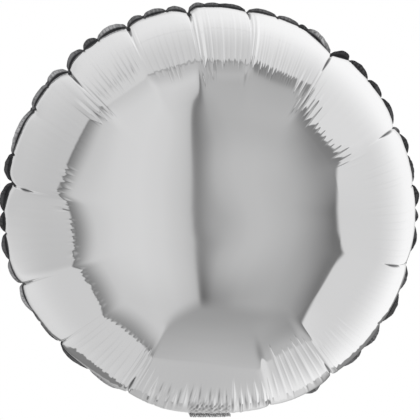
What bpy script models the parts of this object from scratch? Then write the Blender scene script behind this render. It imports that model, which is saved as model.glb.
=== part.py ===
"""Round foil balloon, filled: two domed films welded round the rim, its filling tail folded back."""

import math

import bmesh
import bpy
from mathutils import Vector

# Envelope, in metres. The front faces -Y, +Z is up, and the origin is the middle of the weld's plane.
RIM_RADIUS = 0.170          # from the middle to the weld, once filled
FILM_WALL = 0.0010          # stands in for film of about 0.03 mm
POLE_RADIUS = 0.016         # the flat spot in the middle of each panel
CLEARANCE = 0.0003          # between pieces that touch

# Welded seam round the rim
SEAM_WALL = 0.0012
SEAM_BITE = 0.0030          # how far the weld reaches in between the panels' edges
SEAM_WIDTH = 0.0052         # how far its flange stands out at the middle of a lobe
SEAM_TUCK = 0.0018          # how far it still stands out in a crease, where it is folded over
SEAM_SWAY = 0.0020          # how far the flange's edge sways out of its plane
SEAM_ROOT = 0.0005          # the flat start of the flange, past the panels' edges
SEAM_LEAN = 0.0020          # how far back the flange leans beside the tail, where it is also narrower
SEAM_LEAN_REACH = 34.0      # degrees either side of the tail over which it does so
SEAM_LEAN_SHARE = 0.6       # of its width that it loses there

# Neck and filling tail
NECK_DROP = 0.0008          # from the panels' edges down to the underside of the neck
NECK_ROOT = 0.0002          # the flat start of the neck, past the panels' edges
NECK_FOLD = 0.0003          # height of the folds gathered across the neck
NECK_FOOT = 0.0009          # half the neck's thickness at its underside
TAIL_WIDTH = 0.034
TAIL_LENGTH = 0.082         # from the fold to the mouth
TAIL_WALL = 0.0008
TAIL_SEAL = 0.0045          # welded margin along each side of the tail
VALVE_WALL = 0.0005
VALVE_MARGIN = 0.0022       # between the valve films' sides and the tail's welded margins
VALVE_DEPTH = 0.050         # how far the valve films reach into the tail from its mouth
VALVE_LIP = 0.0080          # how far they show past the mouth

# Gathers draw the rim in at the tail and beside it: middle and reach in degrees, depth and run along the
# film in metres.
GATHERS = (
    (180.0, 30.0, 0.0040, 0.060),
    (216.0, 30.0, 0.0072, 0.070),
)

# Fineness of the surfaces
RINGS = 12
LOBE_STEP = 4.8             # degrees between the points across a lobe
NECK_STEPS = 8
CREASE_SIDES = 16
METER_STEPS = 480

# Between two main creases the film is nearly flat across, so that its rings have corners at the creases.
CORNER_POWER = 1.35
CORNER_TURN = 14.0          # degrees from the middle of a side to its corner that count at most
CORNER_NEAR = 0.008         # film distances from the rim where it starts, is full and is gone again
CORNER_FULL = 0.078
CORNER_FAR = 0.150

# Creases run in from the rim: clockwise angle seen from the front, in degrees from the top;
# depth at the rim and length along the film, in metres; and whether it is one of the main ones.
CREASES = (
    (10.0, 0.0052, 0.082, True),
    (18.8, 0.0024, 0.034, False),
    (37.2, 0.0060, 0.096, True),
    (51.0, 0.0024, 0.034, False),
    (65.3, 0.0054, 0.084, True),
    (83.4, 0.0028, 0.040, False),
    (103.4, 0.0058, 0.092, True),
    (124.0, 0.0032, 0.044, False),
    (143.5, 0.0058, 0.086, True),
    (163.5, 0.0044, 0.062, True),
    (180.0, 0.0008, 0.050, True),
    (196.6, 0.0036, 0.048, False),
    (205.2, 0.0046, 0.084, True),
    (229.8, 0.0054, 0.084, True),
    (250.0, 0.0054, 0.084, True),
    (264.0, 0.0026, 0.036, False),
    (278.5, 0.0054, 0.080, True),
    (290.3, 0.0026, 0.034, False),
    (299.8, 0.0026, 0.036, False),
    (314.8, 0.0058, 0.088, True),
    (335.7, 0.0052, 0.080, True),
    (353.4, 0.0054, 0.092, True),
)

FOIL = ("silver_foil", (0.80, 0.80, 0.81, 1.0), 0.14, 1.0)
WELD = ("welded_foil", (0.30, 0.30, 0.31, 1.0), 0.22, 1.0)
VALVE = ("valve_film", (0.86, 0.88, 0.89, 1.0), 0.35, 0.0)

# What follows from the sizes
PANEL_EDGE = SEAM_WALL / 2 + CLEARANCE
VALVE_FACE = CLEARANCE / 2 + VALVE_WALL
TAIL_INNER = VALVE_FACE + CLEARANCE
TAIL_HALF = TAIL_INNER + TAIL_WALL
NECK_FLOOR = RIM_RADIUS - GATHERS[0][2] + NECK_DROP
FOLD_Z = -(NECK_FLOOR + CLEARANCE + TAIL_HALF)


def material(look):
    """The Principled material of a (name, colour, roughness, metallic) row."""
    name, colour, roughness, metallic = look
    if name in bpy.data.materials:
        return bpy.data.materials[name]
    made = bpy.data.materials.new(name)
    made.use_nodes = True
    shader = made.node_tree.nodes["Principled BSDF"]
    shader.inputs["Base Color"].default_value = colour
    shader.inputs["Roughness"].default_value = roughness
    shader.inputs["Metallic"].default_value = metallic
    made.diffuse_color = colour
    return made


def add_object(name, bm, look, sharp_degrees=40.0, parent=None):
    """Closes a bmesh into a named, smooth-shaded object."""
    bmesh.ops.recalc_face_normals(bm, faces=bm.faces)
    mesh = bpy.data.meshes.new(name)
    bm.to_mesh(mesh)
    bm.free()
    mesh.materials.append(material(look))
    mesh.shade_smooth()
    mesh.set_sharp_from_angle(angle=math.radians(sharp_degrees))
    piece = bpy.data.objects.new(name, mesh)
    bpy.context.collection.objects.link(piece)
    piece.parent = parent
    return piece


def slab(front, back):
    """A closed body between two grids of points that match, walled round their border."""
    bm = bmesh.new()
    faces = [[[bm.verts.new(p) for p in row] for row in grid] for grid in (front, back)]
    rows, columns = len(front), len(front[0])
    for grid in faces:
        for r in range(rows - 1):
            for c in range(columns - 1):
                bm.faces.new((grid[r][c], grid[r][c + 1], grid[r + 1][c + 1], grid[r + 1][c]))
    border = [(0, c) for c in range(columns)]
    border += [(r, columns - 1) for r in range(1, rows)]
    border += [(rows - 1, c) for c in range(columns - 2, -1, -1)]
    border += [(r, 0) for r in range(rows - 2, 0, -1)]
    ahead, behind = faces
    for (r1, c1), (r2, c2) in zip(border, border[1:] + border[:1]):
        bm.faces.new((ahead[r1][c1], ahead[r2][c2], behind[r2][c2], behind[r1][c1]))
    return bm


def meridian():
    """Rings of a filled disc of film: (radius, height, lean of the film, film distance to the rim).

    Such a film leans by b where sin b = (radius / rim radius) squared. The rings are even in t,
    with b = a quarter turn times t squared, which spaces them about evenly along the film.
    """
    quarter = math.pi / 2
    first = math.sqrt(math.asin((POLE_RADIUS / RIM_RADIUS) ** 2) / quarter)
    stations = [first + (1.0 - first) * k / (RINGS - 1) for k in range(RINGS)]
    step = (1.0 - first) / METER_STEPS
    rings = []
    height = distance = 0.0
    t = 1.0
    for station in reversed(stations):
        while t > station + step / 2:
            sine = math.sin(quarter * (t - step / 2) ** 2)
            turn = math.pi * (t - step / 2) * step
            height += RIM_RADIUS / 2 * math.sqrt(sine) * turn
            distance += RIM_RADIUS / 2 / math.sqrt(sine) * turn
            t -= step
        lean = quarter * station ** 2
        rings.append((RIM_RADIUS * math.sqrt(math.sin(lean)), height, lean, distance))
    return rings[::-1]


def lobe_points():
    """Angles round the rim, closer together beside the creases: (angle, share across, crease, next)."""
    points = []
    for k, crease in enumerate(CREASES):
        after = CREASES[(k + 1) % len(CREASES)]
        width = (after[0] - crease[0]) % 360.0
        steps = max(3, round(width / LOBE_STEP))
        for s in range(steps):
            share = 0.5 - 0.5 * math.cos(math.pi * s / steps)
            points.append((crease[0] + width * share, share, crease, after))
    return points


def point_at(angle):
    """The (angle, share, crease, next) row of any clockwise angle."""
    for k, crease in enumerate(CREASES):
        after = CREASES[(k + 1) % len(CREASES)]
        width = (after[0] - crease[0]) % 360.0
        past = (angle - crease[0]) % 360.0
        if past < width:
            return angle, past / width, crease, after
    raise ValueError(angle)


def dent(point, distance):
    """How far the film lies in, at a film distance from the rim: most in the creases and gathers."""
    angle, share, crease, after = point
    nearest = crease if share < 0.5 else after
    depth = crease[1] + (after[1] - crease[1]) * share
    sunk = depth * (1.0 - math.sin(math.pi * share)) ** 1.5 * smooth(1.0 - distance / nearest[2])
    for middle, reach, drawn, run in GATHERS:
        sunk += drawn * smooth(1.0 - abs((angle % 360.0) - middle) / reach) * smooth(1.0 - distance / run)
    return sunk


def corner(angle, distance):
    """Share by which a ring of film stands out towards its corners at the main creases."""
    bounds = [crease[0] for crease in CREASES if crease[3]]
    widest = 0.0
    for before, after in zip([bounds[-1] - 360.0] + bounds, bounds + [bounds[0] + 360.0]):
        past = (angle - before) % 360.0
        width = after - before
        if past < width:
            turn = (past - width / 2) * min(1.0, 2.0 * CORNER_TURN / width)
            widest = 1.0 / math.cos(math.radians(turn)) - 1.0
    near = smooth((distance - CORNER_NEAR) / (CORNER_FULL - CORNER_NEAR))
    far = smooth((CORNER_FAR - distance) / (CORNER_FAR - CORNER_FULL))
    return CORNER_POWER * near * far * widest


def smooth(x):
    """Eases from 0 to 1 as x does."""
    x = min(1.0, max(0.0, x))
    return x * x * (3.0 - 2.0 * x)


def around(angle, radius, y):
    """The place at a clockwise angle in degrees from the top, seen from the front."""
    turn = math.radians(angle)
    return Vector((radius * math.sin(turn), y, radius * math.cos(turn)))


def panel(name, side):
    """One domed film as a bowl open at the rim. Side is -1 for the front and 1 for the back."""
    bm = bmesh.new()
    points = lobe_points()
    rings = meridian()
    skins = []
    for wall in (0.0, FILM_WALL):
        skin = []
        for radius, height, lean, distance in rings:
            ring = []
            for point in points:
                sunk = dent(point, distance) + wall
                spread = radius * (1.0 + corner(point[0], distance)) - sunk * math.sin(lean)
                out = PANEL_EDGE + height - sunk * math.cos(lean)
                ring.append(bm.verts.new(around(point[0], spread, side * out)))
            skin.append(ring)
        top = PANEL_EDGE + rings[0][1] - wall * math.cos(rings[0][2])
        skins.append((bm.verts.new((0.0, side * top, 0.0)), skin))
    count = len(points)
    for pole, skin in skins:
        for k in range(count):
            after = (k + 1) % count
            bm.faces.new((pole, skin[0][k], skin[0][after]))
            for inner, outer in zip(skin, skin[1:]):
                bm.faces.new((inner[k], outer[k], outer[after], inner[after]))
    outer_edge, inner_edge = skins[0][1][-1], skins[1][1][-1]
    for k in range(count):
        after = (k + 1) % count
        bm.faces.new((outer_edge[k], inner_edge[k], inner_edge[after], outer_edge[after]))
    return add_object(name, bm, FOIL)


def edge_seam():
    """The welded flange round the rim, scalloped between the creases and open at the neck."""
    half_gap = math.degrees(math.asin((TAIL_WIDTH / 2 + CLEARANCE) / RIM_RADIUS))
    ends = [point_at(180.0 + half_gap), point_at(180.0 - half_gap)]
    between = [p for p in lobe_points() if abs((p[0] % 360.0) - 180.0) > half_gap + 0.3]
    between.sort(key=lambda p: (p[0] - 180.0) % 360.0)
    front, back = [], []
    for point in [ends[0]] + between + [ends[1]]:
        angle, share, _, _ = point
        rim = RIM_RADIUS - dent(point, 0.0)
        beside_tail = smooth(1.0 - abs((angle % 360.0) - 180.0) / SEAM_LEAN_REACH)
        width = SEAM_TUCK + (SEAM_WIDTH - SEAM_TUCK) * math.sin(math.pi * share)
        width *= 1.0 - SEAM_LEAN_SHARE * beside_tail
        sway = SEAM_SWAY * math.sin(2.0 * math.pi * share) * (1.0 - beside_tail) + SEAM_LEAN * beside_tail
        section = (
            (rim - SEAM_BITE, 0.0, SEAM_WALL / 2),
            (rim + SEAM_ROOT, 0.0, SEAM_WALL / 2),
            (rim + width, sway, SEAM_WALL / 3),
        )
        front.append([around(angle, radius, y - half) for radius, y, half in section])
        back.append([around(angle, radius, y + half) for radius, y, half in section])
    return add_object("edge_seam", slab(front, back), WELD)


def tail_neck():
    """The gathered film between the panels' edges, down to the fold of the tail."""
    spread = math.degrees(math.asin(TAIL_WIDTH / 2 / RIM_RADIUS))
    front, back = [], []
    for k in range(NECK_STEPS + 1):
        across = 2.0 * k / NECK_STEPS - 1.0
        angle = 180.0 - spread * across
        rim = RIM_RADIUS - dent(point_at(angle), 0.0)
        foot = Vector((TAIL_WIDTH / 2 * across, 0.0, -NECK_FLOOR))
        raised = NECK_FOLD if k % 2 else 0.0
        # place, and thickness ahead of and behind the weld's plane
        stations = (
            (around(angle, rim - SEAM_BITE, 0.0), SEAM_WALL / 2, SEAM_WALL / 2),
            (around(angle, rim + NECK_ROOT, 0.0), SEAM_WALL / 2, SEAM_WALL / 2),
            (foot, NECK_FOOT + raised, NECK_FOOT + NECK_FOLD - raised),
        )
        front.append([place - Vector((0.0, ahead, 0.0)) for place, ahead, _ in stations])
        back.append([place + Vector((0.0, behind, 0.0)) for place, _, behind in stations])
    return add_object("tail_neck", slab(front, back), WELD)


def tail_axis():
    """The fold's line, which everything on the tail turns about."""
    axis = bpy.data.objects.new("tail_axis", None)
    axis.location = (0.0, 0.0, FOLD_Z)
    bpy.context.collection.objects.link(axis)
    return axis


def tail_crease(axis):
    """The doubled-over film of the fold, round about the fold's line."""
    bm = bmesh.new()
    hubs, rims = [], []
    for x in (-TAIL_WIDTH / 2, TAIL_WIDTH / 2):
        turns = [2.0 * math.pi * k / CREASE_SIDES for k in range(CREASE_SIDES)]
        hubs.append(bm.verts.new((x, 0.0, 0.0)))
        rims.append([bm.verts.new((x, TAIL_HALF * math.cos(a), TAIL_HALF * math.sin(a))) for a in turns])
    for k in range(CREASE_SIDES):
        after = (k + 1) % CREASE_SIDES
        bm.faces.new((rims[0][k], rims[0][after], rims[1][after], rims[1][k]))
        for hub, rim in zip(hubs, rims):
            bm.faces.new((hub, rim[k], rim[after]))
    return add_object("tail_fold_crease", bm, WELD, parent=axis)


def tail_film(name, side, axis):
    """One film of the tail: welded margins at its sides, raised over the valve between them."""
    half = TAIL_WIDTH / 2
    seal = half - TAIL_SEAL
    rise = TAIL_INNER - CLEARANCE / 2
    near, far = TAIL_HALF + CLEARANCE, TAIL_LENGTH
    # distance out to the side, height of the inner face
    profile = ((half, 0.0), (seal, 0.0), (seal - rise, rise))
    across = [(-x, z) for x, z in profile] + [(x, z) for x, z in reversed(profile)]
    inner, outer = [], []
    for y in (near, far):
        inner.append([Vector((x, y, side * (CLEARANCE / 2 + z))) for x, z in across])
        outer.append([Vector((x, y, side * (CLEARANCE / 2 + z + TAIL_WALL))) for x, z in across])
    return add_object(name, slab(inner, outer), FOIL, parent=axis)


def valve_film(name, side, axis):
    """One flat film of the self-closing valve, which shows past the tail's mouth."""
    half = TAIL_WIDTH / 2 - TAIL_SEAL - VALVE_MARGIN
    inner, outer = [], []
    for y in (TAIL_LENGTH - VALVE_DEPTH, TAIL_LENGTH + VALVE_LIP):
        inner.append([Vector((x, y, side * CLEARANCE / 2)) for x in (-half, half)])
        outer.append([Vector((x, y, side * VALVE_FACE)) for x in (-half, half)])
    return add_object(name, slab(inner, outer), VALVE, parent=axis)


def build():
    for old in list(bpy.data.objects):
        bpy.data.objects.remove(old)
    panel("front_panel", -1)
    panel("back_panel", 1)
    edge_seam()
    tail_neck()
    axis = tail_axis()
    tail_crease(axis)
    # The tail's front film is the lower one while the tail is folded back.
    tail_film("tail_front_film", -1, axis)
    tail_film("tail_back_film", 1, axis)
    valve_film("valve_front_film", -1, axis)
    valve_film("valve_back_film", 1, axis)


build()
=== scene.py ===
"""Looks of the filled round foil balloon: mirror film with creases and wrinkles, and a welded flange."""
import math

import bpy
import numpy as np
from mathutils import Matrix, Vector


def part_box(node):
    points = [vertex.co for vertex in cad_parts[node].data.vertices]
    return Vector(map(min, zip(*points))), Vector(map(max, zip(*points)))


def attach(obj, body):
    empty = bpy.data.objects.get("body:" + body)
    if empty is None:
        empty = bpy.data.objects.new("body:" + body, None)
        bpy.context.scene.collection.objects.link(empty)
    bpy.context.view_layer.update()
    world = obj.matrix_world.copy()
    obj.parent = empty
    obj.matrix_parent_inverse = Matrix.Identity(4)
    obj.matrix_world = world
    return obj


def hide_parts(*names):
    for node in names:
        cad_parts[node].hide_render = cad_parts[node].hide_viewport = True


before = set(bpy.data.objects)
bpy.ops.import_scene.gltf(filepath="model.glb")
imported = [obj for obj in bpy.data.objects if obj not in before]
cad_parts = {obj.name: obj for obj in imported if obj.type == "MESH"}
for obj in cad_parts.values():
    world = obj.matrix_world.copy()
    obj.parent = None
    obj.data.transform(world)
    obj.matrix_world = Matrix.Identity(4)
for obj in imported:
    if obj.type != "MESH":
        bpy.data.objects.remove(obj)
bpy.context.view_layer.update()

# Sizes in metres, as the frame has them
RIM_RADIUS = 0.170
WELD_EDGE = float(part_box("back_panel")[0].y)        # from the weld's plane to a panel's edge
WELD_HALF = 0.0006                                  # half the thickness of the weld between them
WELD_BITE = 0.0020                                  # how far the flange reaches in between them
FLANGE_HALF = 0.00015                               # half the thickness of the flange's edge
FOLD_LOW, FOLD_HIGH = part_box("tail_fold_crease")
NECK_FLOOR = float(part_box("tail_neck")[0].z)
FOLD_Z = float(FOLD_LOW.z + FOLD_HIGH.z) / 2
FOLD_HALF = float(FOLD_HIGH.z - FOLD_LOW.z) / 2
TAIL_HALF_WIDTH = float(FOLD_HIGH.x)
TAIL_SEAL = 0.0045                                  # welded margin along each side of the tail
FILM = 0.0003                                       # thickness that the tail's films show at their edges
FOLD_TUCK = 0.0010                                  # how far the tail's films start inside the fold

# Fineness of the film's mesh. A row of FINE_RINGS is a first and last film distance from the rim, and how
# many rings lie between them.
AROUND = 1920
AROUND_MIDDLE = 240
RINGS_MIDDLE = 16
FINE_RINGS = (
    (0.124, 0.084, 27),
    (0.084, 0.0, 22),
)

# Mesh of the flange, neck, fold, tail and valve: points or sides along and across
FLANGE_STEP = 0.25                                  # degrees round the rim
FLANGE_ROWS = 12
GATHER_COLUMNS = 121
NECK_ROWS = 10
FOLD_SIDES = 24
TAIL_COLUMNS, TAIL_ROWS = 97, 161
VALVE_COLUMNS, VALVE_ROWS = 49, 81

# Seeds of the panels' fine waves and folds
FRONT_SEED = 11
BACK_SEED = 47

# Main creases: clockwise angle from the top, depth and length in m, degrees by which the inner end lies
# further round than the rim's, and the film distances between which the crease's line gets painted shade as
# if folded tight
CREASES = (
    (10.2, 0.0036, 0.092, 1.1, 0.000, 0.034),
    (37.2, 0.0042, 0.100, -1.5, 0.038, 0.072),
    (64.9, 0.0042, 0.094, -0.6, 0.036, 0.070),
    (103.9, 0.0042, 0.094, 1.7, 0.052, 0.078),
    (143.5, 0.0042, 0.094, 0.0, 0.028, 0.068),
    (163.5, 0.0034, 0.070, 0.0, 0.024, 0.052),
    (205.2, 0.0040, 0.092, 2.0, 0.046, 0.076),
    (229.6, 0.0042, 0.090, 1.2, 0.000, 0.048),
    (249.6, 0.0042, 0.090, 1.8, 0.000, 0.052),
    (279.0, 0.0044, 0.092, -0.8, 0.046, 0.066),
    (315.0, 0.0044, 0.100, -0.6, 0.000, 0.062),
    (335.9, 0.0040, 0.092, -1.0, 0.000, 0.040),
    (353.5, 0.0042, 0.094, -0.4, 0.000, 0.042),
)

# A crease is a sharp line in a soft valley, each with its share of the depth; its widths are in m.
CREASE_LINE_SHARE = 0.55
CREASE_VALLEY_SHARE = 0.2
CREASE_LINE = 0.0008
CREASE_LINE_AT_RIM = 0.0010                         # how much wider the line is at the rim
CREASE_VALLEY = 0.010
CREASE_TIGHT = 0.0011                               # half the width of the painted shade where it is folded tight

# Short creases at the rim: angle, depth, length
NICKS = (
    (18.8, 0.0016, 0.024),
    (25.4, 0.0010, 0.020),
    (42.5, 0.0014, 0.020),
    (50.1, 0.0014, 0.024),
    (56.4, 0.0010, 0.018),
    (73.9, 0.0010, 0.018),
    (82.2, 0.0020, 0.040),
    (93.2, 0.0010, 0.018),
    (113.0, 0.0012, 0.018),
    (123.2, 0.0020, 0.036),
    (132.1, 0.0012, 0.020),
    (172.0, 0.0014, 0.026),
    (188.0, 0.0014, 0.026),
    (196.8, 0.0026, 0.036),
    (217.8, 0.0014, 0.024),
    (237.4, 0.0012, 0.020),
    (264.6, 0.0016, 0.022),
    (286.8, 0.0016, 0.024),
    (300.9, 0.0020, 0.032),
    (307.9, 0.0010, 0.018),
    (322.1, 0.0014, 0.022),
    (327.1, 0.0014, 0.022),
    (341.3, 0.0014, 0.018),
    (347.7, 0.0012, 0.018),
)

# Share of the depth that a short crease's line has, and its widths in m, the last being the half width of
# the painted shade in its slit
NICK_SHARE = 0.8
NICK_LINE = 0.0009
NICK_LINE_AT_RIM = 0.0014
NICK_TIGHT = 0.0008

# Pinched folds that start as a point and run towards the rim: first and last angle, spacing in degrees;
# film distance of their points from the rim, length over which they widen, slope of their sides, how far
# they run; how much painted shade the gaps between them get; how far their crests lie to one side, and the
# share of the width that they fill
FOLDS = (
    (12.0, 30.0, 1.1, 0.101, 0.014, 0.12, 0.060, 0.10, 0.0, 0.9),
    (30.0, 34.5, 1.8, 0.110, 0.014, 0.55, 0.050, 0.30, 0.0, 0.5),
    (34.5, 41.5, 1.9, 0.121, 0.016, 0.60, 0.065, 0.35, -0.15, 0.6),
    (41.5, 47.0, 2.3, 0.1205, 0.010, 0.32, 0.028, 0.15, -0.3, 0.85),
    (47.0, 59.5, 2.2, 0.1185, 0.005, 0.14, 0.012, 0.0, -0.3, 1.0),
    (59.5, 66.0, 2.5, 0.1190, 0.010, 0.28, 0.022, 0.10, -0.3, 0.85),
    (66.0, 70.0, 2.0, 0.1165, 0.020, 0.26, 0.032, 0.0, -0.2, 0.7),
    (70.0, 104.0, 2.6, 0.100, 0.030, 0.04, 0.090, 0.04, 0.0, 1.0),
    (104.0, 143.0, 2.6, 0.100, 0.030, 0.025, 0.090, 0.03, 0.0, 1.0),
    (128.0, 139.0, 1.7, 0.095, 0.016, 0.09, 0.080, 0.05, 0.0, 0.9),
    (139.0, 143.4, 1.5, 0.100, 0.014, 0.30, 0.090, 0.0, 0.0, 0.7),
    (143.5, 159.5, 2.2, 0.110, 0.018, 0.42, 0.090, 0.0, 0.0, 0.5),
    (159.5, 163.3, 1.8, 0.092, 0.014, 0.42, 0.080, 0.0, 0.0, 0.5),
    (163.6, 175.0, 2.2, 0.090, 0.022, 0.75, 0.120, 0.0, 0.1, 0.65),
    (175.0, 187.0, 2.0, 0.072, 0.012, 0.50, 0.060, 0.0, 0.0, 0.5),
    (187.0, 200.0, 2.4, 0.080, 0.020, 0.60, 0.070, 0.0, 0.1, 0.5),
    (200.0, 203.4, 1.6, 0.098, 0.020, 0.65, 0.080, 0.0, 0.0, 0.5),
    (164.0, 176.0, 2.1, 0.070, 0.012, 0.40, 0.034, 1.0, 0.0, 0.8),
    (176.0, 199.0, 2.9, 0.078, 0.012, 0.30, 0.026, 1.0, 0.0, 0.8),
    (177.0, 197.0, 3.3, 0.062, 0.010, 0.30, 0.024, 1.0, 0.0, 0.8),
    (203.0, 208.5, 1.8, 0.108, 0.014, 0.36, 0.080, 0.25, 0.0, 0.7),
    (208.0, 230.0, 2.7, 0.100, 0.024, 0.10, 0.085, 0.12, 0.0, 1.0),
    (209.0, 230.0, 2.1, 0.107, 0.004, 0.12, 0.012, 0.0, 0.0, 0.9),
    (231.5, 250.0, 1.9, 0.1085, 0.004, 0.13, 0.012, 0.0, 0.0, 0.9),
    (252.5, 271.0, 2.2, 0.1065, 0.004, 0.12, 0.012, 0.0, 0.0, 0.9),
    (273.0, 279.5, 2.4, 0.104, 0.008, 0.18, 0.016, 0.10, 0.0, 1.0),
    (280.0, 291.0, 2.4, 0.101, 0.008, 0.14, 0.016, 0.10, 0.0, 1.0),
    (291.0, 300.0, 2.6, 0.080, 0.030, 0.03, 0.060, 0.0, 0.0, 1.0),
    (308.8, 316.2, 2.4, 0.104, 0.014, 0.55, 0.060, 0.60, 0.0, 0.9),
    (316.2, 333.5, 1.8, 0.0890, 0.010, 0.28, 0.045, 0.30, 0.0, 0.8),
    (317.0, 333.5, 2.2, 0.0830, 0.004, 0.0, 0.012, 0.6, 0.0, 1.0),
    (333.8, 337.8, 1.3, 0.074, 0.014, 0.45, 0.060, 0.1, 0.0, 0.5),
    (337.5, 353.0, 1.9, 0.096, 0.008, 0.08, 0.060, 0.10, 0.0, 1.0),
    (342.0, 346.5, 1.6, 0.104, 0.010, 0.12, 0.030, 0.35, 0.0, 0.8),
    (353.8, 359.2, 1.6, 0.114, 0.010, 0.14, 0.030, 0.20, 0.0, 0.9),
    (353.9, 356.7, 1.4, 0.0985, 0.012, 1.00, 0.110, 0.15, -0.3, 0.9),
    (356.7, 358.8, 1.2, 0.0995, 0.012, 0.50, 0.100, 0.10, -0.15, 0.65),
    (358.8, 369.5, 1.9, 0.098, 0.008, 0.34, 0.085, 0.05, 0.0, 0.45),
    (370.3, 373.1, 1.4, 0.0975, 0.012, 1.00, 0.110, 0.1, -0.3, 0.9),
)

# Half the width of the painted shade in the gap beside such a fold, in m
FOLD_GAP = 0.0006

# Height of the slight waves between the folds, and film distances where they end and over which they fade
WAVE_HEIGHT = 0.00001
WAVE_END = 0.105
WAVE_FADE = 0.030

# Film distance over which the film's lines come to lie further round
DRIFT_RUN = 0.075

# Gathers that draw the rim in: middle and reach in degrees, depth and run along the film in m
GATHERS = (
    (180.0, 30.0, 0.0044, 0.060),
    (216.0, 30.0, 0.0066, 0.070),
    (239.0, 16.0, 0.0026, 0.060),
)

# Cusps where the creases draw the rim in: angle, depth in m, reach before and after in degrees
CUSPS = (
    (10.2, 0.0016, 8.0, 5.0),
    (37.2, 0.0085, 13.0, 6.0),
    (64.9, 0.0034, 7.0, 5.0),
    (82.2, 0.0012, 4.0, 4.0),
    (103.9, 0.0028, 9.0, 6.0),
    (123.2, 0.0014, 5.0, 5.0),
    (143.5, 0.0026, 14.0, 5.0),
    (163.5, 0.0018, 8.0, 4.0),
    (205.2, 0.0036, 14.0, 6.0),
    (229.6, 0.0018, 5.0, 5.0),
    (249.6, 0.0030, 8.0, 7.0),
    (279.0, 0.0048, 8.0, 4.0),
    (299.8, 0.0020, 4.0, 4.0),
    (315.0, 0.0047, 6.0, 5.0),
    (335.9, 0.0024, 6.0, 4.0),
    (353.5, 0.0045, 6.0, 3.0),
)
CUSP_RUN = 0.050                                    # how far along the film they run, in m

# Crumpled film beside the neck: middle and reach in degrees, run along the film and height in m, and how
# fast its two waves turn along the film, in radians per metre
CRUMPLE_MIDDLE = 180.8
CRUMPLE_REACH = 6.4
CRUMPLE_RUN = 0.060
CRUMPLE_HEIGHT = 0.00030
CRUMPLE_TURNS = (430.0, 640.0)

# Corners that the rings of film have at the main creases
CORNER_POWER = 1.20
CORNER_TURN = 14.5                                  # degrees from a side's middle that count at most
CORNER_BLUR = 3.0                                   # degrees either side over which they are rounded
CORNER_NEAR = 0.008                                 # film distances where they start, fade out and end
CORNER_FADE = 0.095
CORNER_FAR = 0.140

# Scallops of the flange: start, clockwise in degrees; how far it stands out in mm; how much painted light
# its edge gets;
# and how far the flange stands out at the start, in mm
SCALLOPS = (
    (2.4, 3.2, 0.2, 2.4), (10.0, 3.2, 0.3, 1.4), (18.9, 3.4, 0.4, 1.6), (25.4, 3.2, 0.1, 2.0),
    (28.2, 6.2, 1.0, 2.2), (36.9, 6.0, 0.1, 5.4), (42.5, 4.8, 0.1, 0.8), (50.1, 4.2, 0.1, 0.9),
    (56.4, 4.0, 0.1, 0.7), (64.9, 3.0, 0.3, 1.6), (67.7, 4.2, 0.1, 0.8), (73.9, 3.4, 0.1, 0.7),
    (82.2, 4.8, 0.1, 0.9), (88.9, 3.6, 0.1, 0.4), (93.6, 4.2, 0.1, 0.4), (102.0, 2.8, 0.1, 1.2),
    (105.2, 3.8, 0.2, 1.0), (112.9, 5.2, 0.2, 0.4), (123.2, 4.4, 0.3, 0.4), (132.0, 4.0, 0.3, 0.4),
    (139.9, 2.6, 0.2, 0.5), (143.9, 1.2, 0.8, 1.0), (147.0, 3.8, 0.4, 0.4), (152.6, 1.4, 0.9, 0.6),
    (163.5, 1.4, 0.9, 0.6), (186.5, 1.2, 0.8, 0.8), (196.8, 1.4, 0.7, 0.8), (205.2, 2.6, 0.8, 0.8),
    (217.9, 3.2, 0.2, 0.8), (229.0, 1.7, 0.2, 1.2), (241.0, 3.8, 1.0, 0.9), (249.8, 3.4, 0.7, 2.2),
    (257.0, 4.4, 0.2, 0.3), (264.8, 4.4, 0.1, 0.3), (270.6, 5.0, 0.1, 0.3), (279.4, 4.2, 0.1, 2.6),
    (286.9, 4.1, 1.0, 1.8), (300.0, 4.0, 0.6, 2.8), (309.0, 5.4, 1.0, 2.4), (315.1, 4.6, 0.4, 3.0),
    (322.2, 5.2, 0.2, 1.2), (326.9, 5.4, 1.0, 2.0), (335.9, 4.0, 0.4, 3.0), (340.9, 4.4, 0.5, 1.8),
    (347.5, 3.8, 0.4, 1.4), (353.5, 3.6, 0.4, 2.8), (358.4, 3.2, 0.3, 2.0),
)


def smooth(x):
    """Eases from 0 to 1 as x does."""
    x = np.clip(x, 0.0, 1.0)
    return x * x * (3.0 - 2.0 * x)


def turn_between(angle, centre):
    """Signed difference in degrees, from -180 to 180."""
    return (angle - centre + 180.0) % 360.0 - 180.0


def ripple(angle, low, high, count, seed):
    """A closed wave round the rim: sines of whole numbers of turns from low to high, about 1 in size."""
    draw = np.random.default_rng(seed)
    turns = draw.integers(low, high, count)
    phases = draw.uniform(0.0, 2.0 * np.pi, count)
    turn = np.radians(angle)
    total = np.zeros_like(turn)
    for many, phase in zip(turns, phases):
        total += np.sin(many * turn + phase)
    return total / math.sqrt(count / 2.0)


def meridian(shares):
    """Radius, height, lean and film distance to the rim at shares of the way along the film."""
    quarter = math.pi / 2
    fine = np.linspace(1e-4, 1.0, 6000)
    sine = np.sqrt(np.sin(quarter * fine ** 2))
    turn = math.pi * fine

    def back_sum(rate):
        steps = (rate[1:] + rate[:-1]) / 2 * np.diff(fine)
        return np.concatenate([np.cumsum(steps[::-1])[::-1], [0.0]])

    height = np.interp(shares, fine, back_sum(RIM_RADIUS / 2 * sine * turn))
    distance = np.interp(shares, fine, back_sum(RIM_RADIUS / 2 / sine * turn))
    lean = quarter * shares ** 2
    return RIM_RADIUS * np.sqrt(np.sin(lean)), height, lean, distance


def share_at(distances):
    """Share of the way along the film at film distances from the rim."""
    shares = np.linspace(1e-3, 1.0, 4000)
    return np.interp(distances, meridian(shares)[3][::-1], shares[::-1])


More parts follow.
